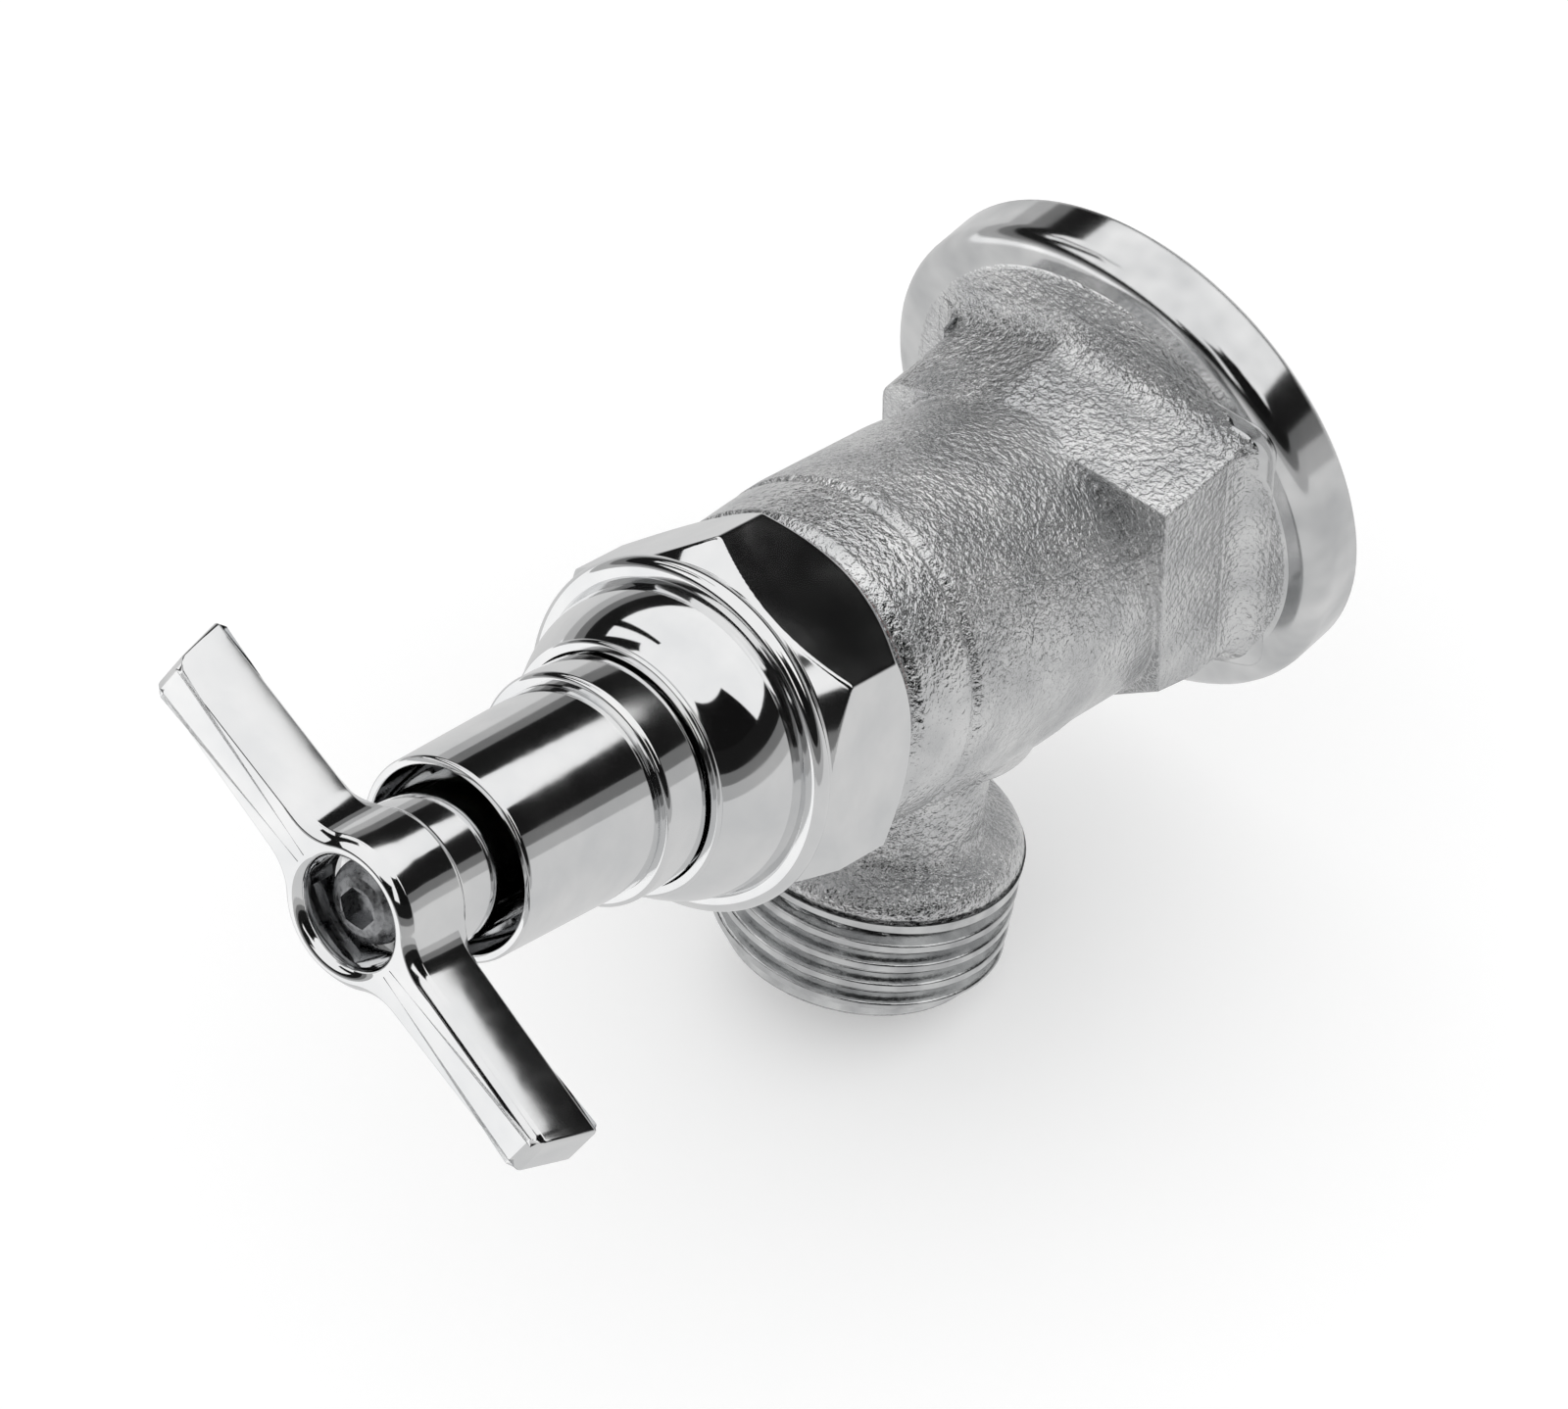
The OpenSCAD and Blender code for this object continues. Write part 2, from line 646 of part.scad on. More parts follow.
// Plated barrel that shields the stem, slightly narrower towards its open front
module barrel() {
    rear = barrel_rear_d / 2;
    front = barrel_front_d / 2;
    inner = recess_d / 2;
    seat_r = spigot_d / 2 + fix_gap;
    step_at = barrel_at + spigot_len - snap_t - 1.2;
    color("#dfe2e5") on_stem() turned([
        [seat_r, barrel_at], [rear - 0.3, barrel_at], [rear, barrel_at + 0.3],
        [front, barrel_end - 0.4], [front - 0.3, barrel_end], [inner + 0.2, barrel_end],
        [inner, barrel_end - 0.3], [inner, step_at], [seat_r, step_at]]);
}

// Open spring ring in the spigot's groove, in front of the barrel's inner step
module snap_ring() {
    s = spigot_d / 2;
    groove_at = barrel_at + spigot_len - snap_t - 1;
    color("#8d9094") on_stem() difference() {
        ring(s - snap_w / 2 + fix_gap + snap_w, s - snap_w / 2 + fix_gap, groove_at + 0.05,
             groove_at + snap_t - 0.05);
        translate([s - snap_w, -1.5, groove_at - 1]) cube([2 * snap_w, 3, snap_t + 2]);
    }
}

// Outline of one blend that runs from the hub into an arm, on both sides of the arm
module blend_outline() {
    root = arm_root_w / 2;
    hub = hub_d / 2;
    b = hub_blend;
    reach = sqrt(pow(hub + b, 2) - pow(root + b, 2));
    start = atan2(root + b, reach) + 180;
    curve = arc([reach, root + b], b, start, 270, 8);
    upper = concat([[0, hub * 0.4]], [[hub * 0.3, hub * 0.9]], curve);
    polygon(concat(upper, [for (i = [len(upper) - 1:-1:0]) [upper[i][0], -upper[i][1]]]));
}

// Bevelled section of an arm, of the given width, as a thin slice
module arm_slice(width) {
    d = arm_depth / 2;
    w = width / 2;
    b = arm_bevel;
    rotate([90, 0, 90]) linear_extrude(far)
        polygon([[w, b - d], [w, d - b], [w - b, d], [b - w, d], [-w, d - b], [-w, b - d],
                 [b - w, -d], [w - b, -d]]);
}

// One arm from the hub's centre to its sloped tip
module arm() {
    half = tee_span / 2;
    slope = arm_depth * tan(tip_slope);
    intersection() {
        hull() {
            arm_slice(arm_root_w + 0.1);
            translate([half, 0, 0]) arm_slice(arm_tip_w);
        }
        rotate([90, 0, 0]) linear_extrude(arm_root_w * 2, center = true)
            polygon([[0, -arm_depth], [half - 0.6, -arm_depth], [half, 0.5 - arm_depth / 2],
                     [half - slope, arm_depth / 2 - 0.5], [half - slope - 0.7, arm_depth / 2],
                     [0, arm_depth]]);
    }
}

// Tee handle: bevelled arms, round hub, shank with a square socket and a screw recess
module tee_handle() {
    bevel = arm_bevel;
    hub = hub_d / 2;
    shank = shank_d / 2;
    rim = recess_screw_d / 2;
    socket_w = square_w + 2 * fix_gap;
    color("#e6e8ea") on_stem() difference() {
        rotate([0, 0, tee_turn]) union() {
            for (side = [0, 180]) rotate([0, 0, side]) {
                translate([0, 0, (arm_at + hub_end) / 2]) arm();
                translate([0, 0, arm_at + bevel / 2]) linear_extrude(arm_depth - bevel)
                    blend_outline();
            }
            turned(concat(
                [[0, shank_at], [shank - 0.5, shank_at], [shank, shank_at + 0.5],
                 [shank, arm_at - 0.4], [hub, arm_at]],
                arc([hub - bevel, hub_end - bevel], bevel, 0, 90, 4),
                [[0, hub_end]]));
        }
        translate([-socket_w / 2, -socket_w / 2, shank_at - 1])
            cube([socket_w, socket_w, square_end + free_gap - shank_at + 1]);
        translate([0, 0, shank_at - 1])
            cylinder(d = stem_d + 2 * fix_gap, h = 2.2 + fix_gap);
        translate([0, 0, shank_at]) cylinder(d = screw_d + 0.6, h = arm_depth + shank_len);
        translate([0, 0, screw_seat]) cylinder(r = rim, h = arm_depth);
        turned([[0, hub_end + far], [rim + recess_rim, hub_end + far],
                [rim + recess_rim * 0.35, hub_end - recess_rim * 0.5],
                [rim - far, hub_end - recess_rim * 1.3], [0, hub_end - recess_rim * 1.3]]);
    }
}

// Screw that holds the handle on the stem, with a domed head and a hexagon socket
module handle_screw() {
    head = screw_head_d / 2;
    shank = screw_d / 2;
    base = screw_seat + lock_t;
    color("#8f9296") on_stem() difference() {
        turned(concat(
            [[0, base - screw_len], [shank - 0.5, base - screw_len],
             [shank, base - screw_len + 0.5], [shank, base], [head, base]],
            [for (a = [0:15:75]) [head * cos(a), base + 0.5 + (screw_head_h - 0.5) * sin(a)]],
            [[0, base + screw_head_h]]));
        translate([0, 0, base + 0.9]) cylinder(r = head * 0.5, h = screw_head_h, $fn = 6);
    }
}

// Split lock washer under the screw's head
module lock_washer() {
    color("#8d9094") on_stem() difference() {
        ring(screw_head_d / 2 - 0.1, screw_d / 2 + 0.15, screw_seat, screw_seat + lock_t);
        translate([screw_d / 2, -0.3, screw_seat - 1]) cube([screw_head_d, 0.6, lock_t + 2]);
    }
}

body();
seat();
seat_ring();
valve_washer();
washer_cup();
washer_screw();
stem();
cap_nut();
cap_gasket();
packing_washer();
packing_inner();
packing_outer();
gland_ring();
gland_nut();
stem_seal();
barrel();
snap_ring();
tee_handle();
handle_screw();
lock_washer();
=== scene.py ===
import json
import bmesh
import bpy
import numpy as np
from mathutils import Matrix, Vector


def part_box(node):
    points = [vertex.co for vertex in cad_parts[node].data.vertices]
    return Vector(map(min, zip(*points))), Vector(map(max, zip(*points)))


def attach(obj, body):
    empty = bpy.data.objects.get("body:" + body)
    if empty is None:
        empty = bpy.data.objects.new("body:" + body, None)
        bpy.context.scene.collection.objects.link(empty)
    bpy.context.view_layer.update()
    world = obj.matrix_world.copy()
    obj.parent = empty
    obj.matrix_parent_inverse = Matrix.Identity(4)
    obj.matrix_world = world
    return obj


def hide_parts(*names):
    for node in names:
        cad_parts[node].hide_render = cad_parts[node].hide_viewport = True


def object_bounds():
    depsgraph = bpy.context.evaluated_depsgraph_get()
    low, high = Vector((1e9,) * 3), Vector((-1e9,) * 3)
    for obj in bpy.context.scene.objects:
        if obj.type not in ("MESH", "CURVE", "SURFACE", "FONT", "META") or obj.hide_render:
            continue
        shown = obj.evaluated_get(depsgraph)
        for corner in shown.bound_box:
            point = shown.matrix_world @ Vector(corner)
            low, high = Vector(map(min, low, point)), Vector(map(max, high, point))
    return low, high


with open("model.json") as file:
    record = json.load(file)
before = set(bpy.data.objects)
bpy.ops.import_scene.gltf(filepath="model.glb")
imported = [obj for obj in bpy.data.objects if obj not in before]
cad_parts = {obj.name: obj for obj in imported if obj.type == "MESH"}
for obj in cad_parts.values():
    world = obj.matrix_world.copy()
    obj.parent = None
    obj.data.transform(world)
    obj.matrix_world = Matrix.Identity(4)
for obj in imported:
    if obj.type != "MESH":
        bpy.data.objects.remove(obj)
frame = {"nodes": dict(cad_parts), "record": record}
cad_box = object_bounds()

# Valve body
# One brass sand casting: wall flange, wrench boss, valve chamber and hose outlet. It is chrome
# plated straight over the rough cast skin, and only the flange's rim, the turned line and the
# band in front of it, the chamber's mouth and the thread were cut in a lathe.

mm = 0.001
turns = {j["name"]: j for j in frame["record"]["behaviour"]["joints"]}
stem_foot = np.array(turns["handle_turn"]["pos_m"]) / mm
stem_axis = np.array(turns["handle_turn"]["axis"])
across = np.array([1.0, 0.0, 0.0])
flange_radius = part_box("body")[1][0] / mm
flange_thick = 6.1


def paint(code):
    """Linear red, green, blue and alpha of an sRGB hex colour. A channel c is c / 12.92 below
    0.04045, and ((c + 0.055) / 1.055) to the power 2.4 above it."""
    c = np.array([int(code[i:i + 2], 16) for i in (1, 3, 5)]) / 255
    c = np.where(c < 0.04045, c / 12.92, ((c + 0.055) / 1.055) ** 2.4)
    return (*c.tolist(), 1.0)


def add(tree, kind, inputs=None, **settings):
    """One shader node with its settings. inputs maps a socket's name or number to a value, or
    to the output socket of another node, which is then linked to it."""
    n = tree.nodes.new(kind)
    for name, value in settings.items():
        setattr(n, name, value)
    for name, value in (inputs or {}).items():
        if isinstance(value, bpy.types.NodeSocket):
            tree.links.new(value, n.inputs[name])
        else:
            n.inputs[name].default_value = value
    return n


def start_material(name):
    """An empty material, as (material, node tree, its output's surface socket)."""
    m = bpy.data.materials.new(name)
    m.use_nodes = True
    m.node_tree.nodes.clear()
    out = m.node_tree.nodes.new("ShaderNodeOutputMaterial")
    return m, m.node_tree, out.inputs["Surface"]


def metal_skin(tree, surface, tone, dark, light, gloss, low, high, normal):
    """A metal whose colour runs from dark to light with the factor tone, and whose roughness
    runs from low to high with the factor gloss."""
    colour = add(tree, "ShaderNodeValToRGB", {"Fac": tone})
    colour.color_ramp.elements[0].position = 0.3
    colour.color_ramp.elements[0].color = paint(dark)
    colour.color_ramp.elements[1].position = 0.7
    colour.color_ramp.elements[1].color = paint(light)
    rough = add(tree, "ShaderNodeMapRange", {"Value": gloss, "From Min": 0.3, "From Max": 0.7,
                                             "To Min": low, "To Max": high})
    skin = add(tree, "ShaderNodeBsdfPrincipled", {
        "Base Color": colour.outputs["Color"], "Metallic": 1.0,
        "Roughness": rough.outputs["Result"], "Normal": normal})
    tree.links.new(skin.outputs[0], surface)


def beyond(tree, value, edge, soft):
    """1 where a value in metres lies past an edge, 0 before it, with a soft step between."""
    return add(tree, "ShaderNodeMapRange", {"Value": value, "From Min": (edge - soft) * mm,
                                            "From Max": (edge + soft) * mm}).outputs["Result"]


# Chrome plate over a sand-cast skin. The pebbles are about 0.6 mm across. Each is bright and
# smooth, so it throws the lamp's white and the room's dark side by side, and the eye reads
# rough glittering metal. Where a tool has cut, the pebbles fade out.
pebble, grit, swell = 0.62, 0.3, 6.0
line_place, face_edge = 44.9, 20.9
cast_chrome, t, surface = start_material("chrome_plate_over_sand_cast_brass")
place = add(t, "ShaderNodeTexCoord").outputs["Object"]
split = add(t, "ShaderNodeSeparateXYZ", {0: place})
radial = add(t, "ShaderNodeCombineXYZ", {"X": split.outputs["X"], "Z": split.outputs["Z"]})
from_inlet = add(t, "ShaderNodeVectorMath", {0: radial.outputs[0]}, operation="LENGTH")
on_rim = add(t, "ShaderNodeMath", {
    0: beyond(t, from_inlet.outputs["Value"], face_edge, 0.25),
    1: beyond(t, split.outputs["Y"], -flange_thick - 0.4, 0.1)}, operation="MULTIPLY")
along = add(t, "ShaderNodeVectorMath", {0: place, 1: stem_axis.tolist()},
            operation="DOT_PRODUCT")
foot_shift = float(stem_axis @ stem_foot)
on_band = beyond(t, along.outputs["Value"], line_place + foot_shift, 0.3)
band_cut = add(t, "ShaderNodeMath", {0: on_band, 1: 0.35}, operation="MULTIPLY")
cut = add(t, "ShaderNodeMath", {0: on_rim.outputs[0], 1: band_cut.outputs[0]},
          operation="MAXIMUM")
uncut = add(t, "ShaderNodeMath", {0: 1.0, 1: cut.outputs[0]}, operation="SUBTRACT")
pebbles = add(t, "ShaderNodeTexNoise", {"Vector": place, "Scale": 1 / (pebble * mm),
                                        "Detail": 2.0, "Roughness": 0.5, "Distortion": 0.4})
grains = add(t, "ShaderNodeTexNoise", {"Vector": place, "Scale": 1 / (grit * mm),
                                       "Detail": 2.0, "Roughness": 0.6})
swells = add(t, "ShaderNodeTexNoise", {"Vector": place, "Scale": 1 / (swell * mm),
                                       "Detail": 2.0})
fine = add(t, "ShaderNodeMath", {0: grains.outputs["Fac"], 1: 0.3}, operation="MULTIPLY")
height = add(t, "ShaderNodeMath", {0: pebbles.outputs["Fac"], 1: fine.outputs[0]},
             operation="ADD")
height = add(t, "ShaderNodeMath", {0: height.outputs[0], 1: uncut.outputs[0]},
             operation="MULTIPLY")
soft_edge = add(t, "ShaderNodeBevel", {"Radius": 0.5 * mm}, samples=6)
bump = add(t, "ShaderNodeBump", {"Height": height.outputs[0], "Strength": 1.0,
                                 "Distance": 0.34 * mm, "Normal": soft_edge.outputs[0]})
gloss = add(t, "ShaderNodeMath", {0: grains.outputs["Fac"], 1: uncut.outputs[0]},
            operation="MULTIPLY")
metal_skin(t, surface, swells.outputs["Fac"], "#cccdce", "#efefef", gloss.outputs[0], 0.1, 0.25,
           bump.outputs["Normal"])


def show(name, points, faces, material, body, node=None, crease=None):
    """A new piece from points in millimetres and faces that go round outwards. It is smooth,
    except where two faces meet at more than the crease angle."""
    mesh = bpy.data.meshes.new(name)
    mesh.from_pydata((np.asarray(points) * mm).tolist(), [], np.asarray(faces).tolist())
    mesh.update()
    piece = bpy.data.objects.new(name, mesh)
    bpy.context.collection.objects.link(piece)
    mesh.materials.append(material)
    mesh.shade_smooth()
    if crease:
        mesh.set_sharp_from_angle(angle=np.radians(crease))
    even = piece.modifiers.new("even_shading", "WEIGHTED_NORMAL")
    even.keep_sharp = True
    if node:
        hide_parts(node)
    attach(piece, body)
    return piece


def ring_faces(rows, columns):
    """Quads of a grid that closes on itself both ways, like a tyre."""
    i = np.arange(rows)[:, None]
    j = np.arange(columns)[None, :]
    down, on = (i + 1) % rows, (j + 1) % columns
    return np.stack([i * columns + j, i * columns + on, down * columns + on,
                     down * columns + j], -1).reshape(-1, 4)


def outward(points, faces):
    """The same faces, turned round if their enclosed volume comes out negative. The volume is
    a sixth of the sum of a . (b x c) over the faces' triangles."""
    p = points[faces]
    fans = [(0, 1, 2), (0, 2, 3)]
    volume = sum(np.einsum("ij,ij->i", p[:, a], np.cross(p[:, b], p[:, c])).sum()
                 for a, b, c in fans)
    return faces if volume > 0 else faces[:, ::-1]


def rounded(corners, radii, steps=5):
    """A closed outline with its corners rounded. At each corner an arc of the given radius
    touches both sides: its centre lies on the bisector, radius / sin(half angle) away."""
    p = np.asarray(corners, float)
    r = np.broadcast_to(np.asarray(radii, float), len(p))
    u = np.roll(p, 1, 0) - p
    v = np.roll(p, -1, 0) - p
    u /= np.linalg.norm(u, axis=1)[:, None]
    v /= np.linalg.norm(v, axis=1)[:, None]
    half = np.arccos(np.clip((u * v).sum(1), -1, 1)) / 2
    middle = (u + v) / np.linalg.norm(u + v, axis=1)[:, None]
    centre = p + middle * (r / np.sin(half))[:, None]
    sense = np.sign(u[:, 0] * v[:, 1] - u[:, 1] * v[:, 0])
    first = np.arctan2(-middle[:, 1], -middle[:, 0]) + sense * (np.pi / 2 - half)
    k = np.linspace(0, 1, steps + 1)[None, :]
    angle = first[:, None] - sense[:, None] * (np.pi - 2 * half)[:, None] * k
    arc = np.stack([np.cos(angle), np.sin(angle)], -1) * r[:, None, None]
    return (centre[:, None, :] + arc).reshape(-1, 2)


# The casting itself keeps the solid's own shape. Its loose triangles are joined, and under
# the thread it is drawn in, because the thread is a piece of its own below.
outlet_axis = np.array(frame["record"]["mounts"][1]["axis"])
outlet_start = stem_foot + 31.2 * stem_axis
outlet_up = np.cross(outlet_axis, across)
shoulder_drop, outlet_drop, hose_radius, hose_deep, hose_pitch = 23.4, 37.4, 13.485, 1.2, 2.209
spigot_radius = 10.0
source = frame["nodes"]["body"]
solid = bmesh.new()
solid.from_mesh(source.data)
bmesh.ops.remove_doubles(solid, verts=solid.verts, dist=0.001 * mm)
casting = bpy.data.meshes.new("joined_casting")
solid.to_mesh(casting)
solid.free()
points = np.empty(len(casting.vertices) * 3)
casting.vertices.foreach_get("co", points)
points = points.reshape(-1, 3) / mm
drop = (points - outlet_start) @ outlet_axis
stray = points - outlet_start - drop[:, None] * outlet_axis
radius = np.linalg.norm(stray, axis=1)
under = (drop > shoulder_drop + 2.45) & (radius > hose_radius - hose_deep - 0.4)
points -= np.where(under, 1 - (hose_radius - hose_deep - 0.3) / np.maximum(radius, 1), 0)[
    :, None] * stray
faces = np.empty(len(casting.polygons) * 3, int)
casting.polygons.foreach_get("vertices", faces)
show("cast_body", points, faces.reshape(-1, 3), cast_chrome, "valve", "body",
     crease=32)

# The cast fillet at the boss's root runs all the way round it on the flange's face.
half_w, boss_top, boss_bottom = 16.0, 13.7, 13.7
fillet, tuck = 2.9, 0.4
outline = rounded([[half_w, boss_top], [-half_w * 0.25, boss_top], [-half_w, boss_top * 0.64],
                   [-half_w, -boss_bottom * 0.66], [-half_w * 0.3, -boss_bottom],
                   [half_w * 0.7, -boss_bottom], [half_w, -boss_bottom * 0.83]],
                  [0.4, 3, 3, 3, 3, 3, 0.8], steps=8)
step = np.roll(outline, -1, 0) - np.roll(outline, 1, 0)
normal = np.stack([step[:, 1], -step[:, 0]], -1) / np.linalg.norm(step, axis=1)[:, None]
normal *= np.sign((normal * outline).sum(1).mean())
a = np.linspace(0, np.pi / 2, 11)
out_by = np.concatenate([[-tuck, -tuck], fillet * (1 - np.cos(a)), [fillet]])
up_by = np.concatenate([[-tuck, fillet], fillet * (1 - np.sin(a)), [-tuck]])
ring = outline[None] + normal[None] * out_by[:, None, None]
high = np.broadcast_to((flange_thick + up_by)[:, None], ring.shape[:2])
points = np.stack([ring[..., 0], -high, ring[..., 1]], -1).reshape(-1, 3)
faces = outward(points, ring_faces(len(out_by), len(outline)))
show("boss_root_fillet", points, faces, cast_chrome, "valve", crease=50)

# Chrome plate over a thread cut in a lathe: bright on the crests, and finely ringed by the
# tool, so that each turn draws one thin highlight.
cut_chrome, t, surface = start_material("chrome_plate_over_cut_thread")
place = add(t, "ShaderNodeTexCoord").outputs["Object"]
rings = add(t, "ShaderNodeTexNoise", {"Vector": place, "Scale": 1 / (0.35 * mm),
                                      "Detail": 2.0})
tone = add(t, "ShaderNodeTexNoise", {"Vector": place, "Scale": 1 / (3.0 * mm)})
bump = add(t, "ShaderNodeBump", {"Height": rings.outputs["Fac"], "Strength": 0.5,
                                 "Distance": 0.03 * mm})
metal_skin(t, surface, tone.outputs["Fac"], "#b9babb", "#dfe0e0", rings.outputs["Fac"], 0.12,
           0.2, bump.outputs["Normal"])

# The thread's height over its root rises and falls once per pitch, and its phase moves on by
# one pitch per turn, so the grid of angle and drop holds one true helix. It runs out at both
# ends, where the tool went in and came off.
drops = np.linspace(shoulder_drop + 2.5, outlet_drop - 0.5, 140)[:, None]
angle = np.linspace(0, 2 * np.pi, 192, endpoint=False)[None, :]
phase = (drops - shoulder_drop - 3) / hose_pitch + (angle - 0.6) / (2 * np.pi)
wave = 0.5 + 0.5 * np.cos(2 * np.pi * phase)
ridge = np.clip((wave - 0.12) / 0.72, 0, 1)
ridge = ridge * ridge * (3 - 2 * ridge)
run_out = np.clip((outlet_drop - 0.9 - drops) / 1.2, 0, 1)
run_in = np.clip((shoulder_drop + 4.4 - drops) / 1.3, 0, 1)
reach = (hose_radius - hose_deep) + hose_deep * np.maximum(ridge * run_out, run_in)
ends = np.array([[hose_radius - hose_deep - 0.3, outlet_drop - 0.1],
                 [hose_radius - hose_deep - 0.6, outlet_drop],
                 [spigot_radius + 0.3, outlet_drop], [spigot_radius - 0.05, outlet_drop - 0.3],
                 [spigot_radius - 0.05, shoulder_drop + 4.2],
                 [hose_radius - hose_deep - 0.5, shoulder_drop + 2.5]])
reach = np.concatenate([reach, np.broadcast_to(ends[:, :1], (6, angle.size))])
drops = np.concatenate([np.broadcast_to(drops, (140, angle.size)),
                        np.broadcast_to(ends[:, 1:], (6, angle.size))])
points = (outlet_start + (reach * np.cos(angle))[..., None] * across
          + (reach * np.sin(angle))[..., None] * outlet_up
          + drops[..., None] * outlet_axis).reshape(-1, 3)
faces = outward(points, ring_faces(drops.shape[0], angle.size))
show("hose_thread", points, faces, cut_chrome, "valve", crease=60)

# Inner parts
# The seat, stem, cup and packing washers are turned from brass rod, the gaskets are red
# vulcanised fibre, and the washer, seal and packing are black rubber and graphited cord.

turned_brass, t, surface = start_material("turned_brass_rod")
place = add(t, "ShaderNodeTexCoord").outputs["Object"]
tool_marks = add(t, "ShaderNodeTexNoise", {"Vector": place, "Scale": 1 / (0.5 * mm),
                                           "Detail": 3.0})
bump = add(t, "ShaderNodeBump", {"Height": tool_marks.outputs["Fac"], "Strength": 0.4,
                                 "Distance": 0.02 * mm})
metal_skin(t, surface, tool_marks.outputs["Fac"], "#a9813c", "#d9b76a",
           tool_marks.outputs["Fac"], 0.2, 0.38, bump.outputs["Normal"])

# Plain steel with a satin drawn finish, greyer and duller than the chrome round it.
satin_steel, t, surface = start_material("satin_steel")
place = add(t, "ShaderNodeTexCoord").outputs["Object"]
drawn = add(t, "ShaderNodeTexNoise", {"Vector": place, "Scale": 1 / (0.4 * mm),
                                      "Detail": 3.0})
bump = add(t, "ShaderNodeBump", {"Height": drawn.outputs["Fac"], "Strength": 0.5,
                                 "Distance": 0.02 * mm})
metal_skin(t, surface, drawn.outputs["Fac"], "#77787a", "#a5a6a8", drawn.outputs["Fac"], 0.22,
           0.38, bump.outputs["Normal"])


def dull_skin(name, dark, light, grain, rough):
    """A matt material: two close colours mixed by a noise of the given grain in mm, which
    also roughens the surface a little."""
    m, t, surface = start_material(name)
    place = add(t, "ShaderNodeTexCoord").outputs["Object"]
    noise = add(t, "ShaderNodeTexNoise", {"Vector": place, "Scale": 1 / (grain * mm),
                                          "Detail": 4.0})
    colour = add(t, "ShaderNodeValToRGB", {"Fac": noise.outputs["Fac"]})
    colour.color_ramp.elements[0].color = paint(dark)
    colour.color_ramp.elements[1].color = paint(light)
    gloss = add(t, "ShaderNodeMapRange", {"Value": noise.outputs["Fac"],
                                          "To Min": rough - 0.08, "To Max": rough + 0.08})
    bump = add(t, "ShaderNodeBump", {"Height": noise.outputs["Fac"], "Strength": 0.4,
                                     "Distance": 0.05 * mm})
    skin = add(t, "ShaderNodeBsdfPrincipled", {
        "Base Color": colour.outputs["Color"], "Roughness": gloss.outputs["Result"],
        "Normal": bump.outputs["Normal"]})
    t.links.new(skin.outputs[0], surface)
    return m


inner_finish = {
    turned_brass: ["seat", "washer_cup", "washer_screw", "stem", "packing_washer",
                   "gland_ring"],
    satin_steel: ["snap_ring", "lock_washer"],
    dull_skin("vulcanised_fibre", "#4f1a12", "#7a3324", 0.6, 0.7): ["seat_ring", "cap_gasket"],
    dull_skin("black_rubber", "#141414", "#262626", 0.8, 0.6): ["valve_washer", "stem_seal"],
    dull_skin("graphited_packing", "#2b2b2d", "#4a4a4d", 0.5, 0.55): ["packing_inner",
                                                                      "packing_outer"]}
for finish, names in inner_finish.items():
    for name in names:
        frame["nodes"][name].data.materials.clear()
        frame["nodes"][name].data.materials.append(finish)

# Cap nut
# A hexagonal brass nut with a rolled ring, a dome and a lip in front of it. It is turned and
# milled, then polished and chrome plated, and it screws into the chamber's mouth.

# Polished chrome plate. It is a mirror with a faint haze, and its long soft waves, left by the
# polishing wheel, bend the edges of what it reflects.
bright_chrome, t, surface = start_material("polished_chrome_plate")
place = add(t, "ShaderNodeTexCoord").outputs["Object"]
haze = add(t, "ShaderNodeTexNoise", {"Vector": place, "Scale": 1 / (6.0 * mm), "Detail": 3.0})
waves = add(t, "ShaderNodeTexNoise", {"Vector": place, "Scale": 1 / (5.0 * mm)})
bump = add(t, "ShaderNodeBump", {"Height": waves.outputs["Fac"], "Strength": 0.5,
                                 "Distance": 0.012 * mm})
metal_skin(t, surface, haze.outputs["Fac"], "#e2e3e4", "#f0f0f0", haze.outputs["Fac"], 0.04,
           0.1, bump.outputs["Normal"])

stem_up = np.cross(stem_axis, across)
mouth_at, hex_at, ring_at, dome_at, lip_at = 52.0, 52.6, 65.0, 66.045, 74.045
flats, hex_turn, hex_back, hex_front = 15.0, 40.5, 3.6, 2.3
ring_radius, ring_half, dome_radius, lip_radius = 15.9, 0.95, 14.0, 11.45


def hex_reach(angle):
    """Radius of the hexagon with rounded corners at each angle. On a flat it is the half width
    over the cosine from the flat's middle; at a corner it is the far side of a small circle."""
    soft = 0.35
    from_corner = (angle - np.radians(hex_turn) + np.pi / 6) % (np.pi / 3) - np.pi / 6
    centre = (flats - soft) / np.cos(np.pi / 6)
    limit = np.arctan2(soft * 0.5, centre + soft * np.cos(np.pi / 6))
    small = centre * np.cos(from_corner) + np.sqrt(
        np.maximum(soft ** 2 - (centre * np.sin(from_corner)) ** 2, 0))
    flat = flats / np.cos(np.pi / 6 - np.abs(from_corner))
    return np.where(np.abs(from_corner) < limit, small, flat)


def soft_least(a, b, blend):
    """The smaller of two lengths, with a rounded change-over of the given size."""
    h = np.clip(0.5 + 0.5 * (b - a) / blend, 0, 1)
    return b + (a - b) * h - blend * h * (1 - h)


def spaced(loop, first, last, step):
    """The closed loop with extra points on the stretch from corner first to corner last."""
    part = loop[first:last + 1]
    length = np.concatenate([[0], np.cumsum(np.linalg.norm(np.diff(part, axis=0), axis=1))])
    at = np.unique(np.concatenate([length, np.arange(0, length[-1], step)]))
    fresh = np.stack([np.interp(at, length, part[:, 0]), np.interp(at, length, part[:, 1])], 1)
    return np.concatenate([loop[:first], fresh, loop[last + 1:]])


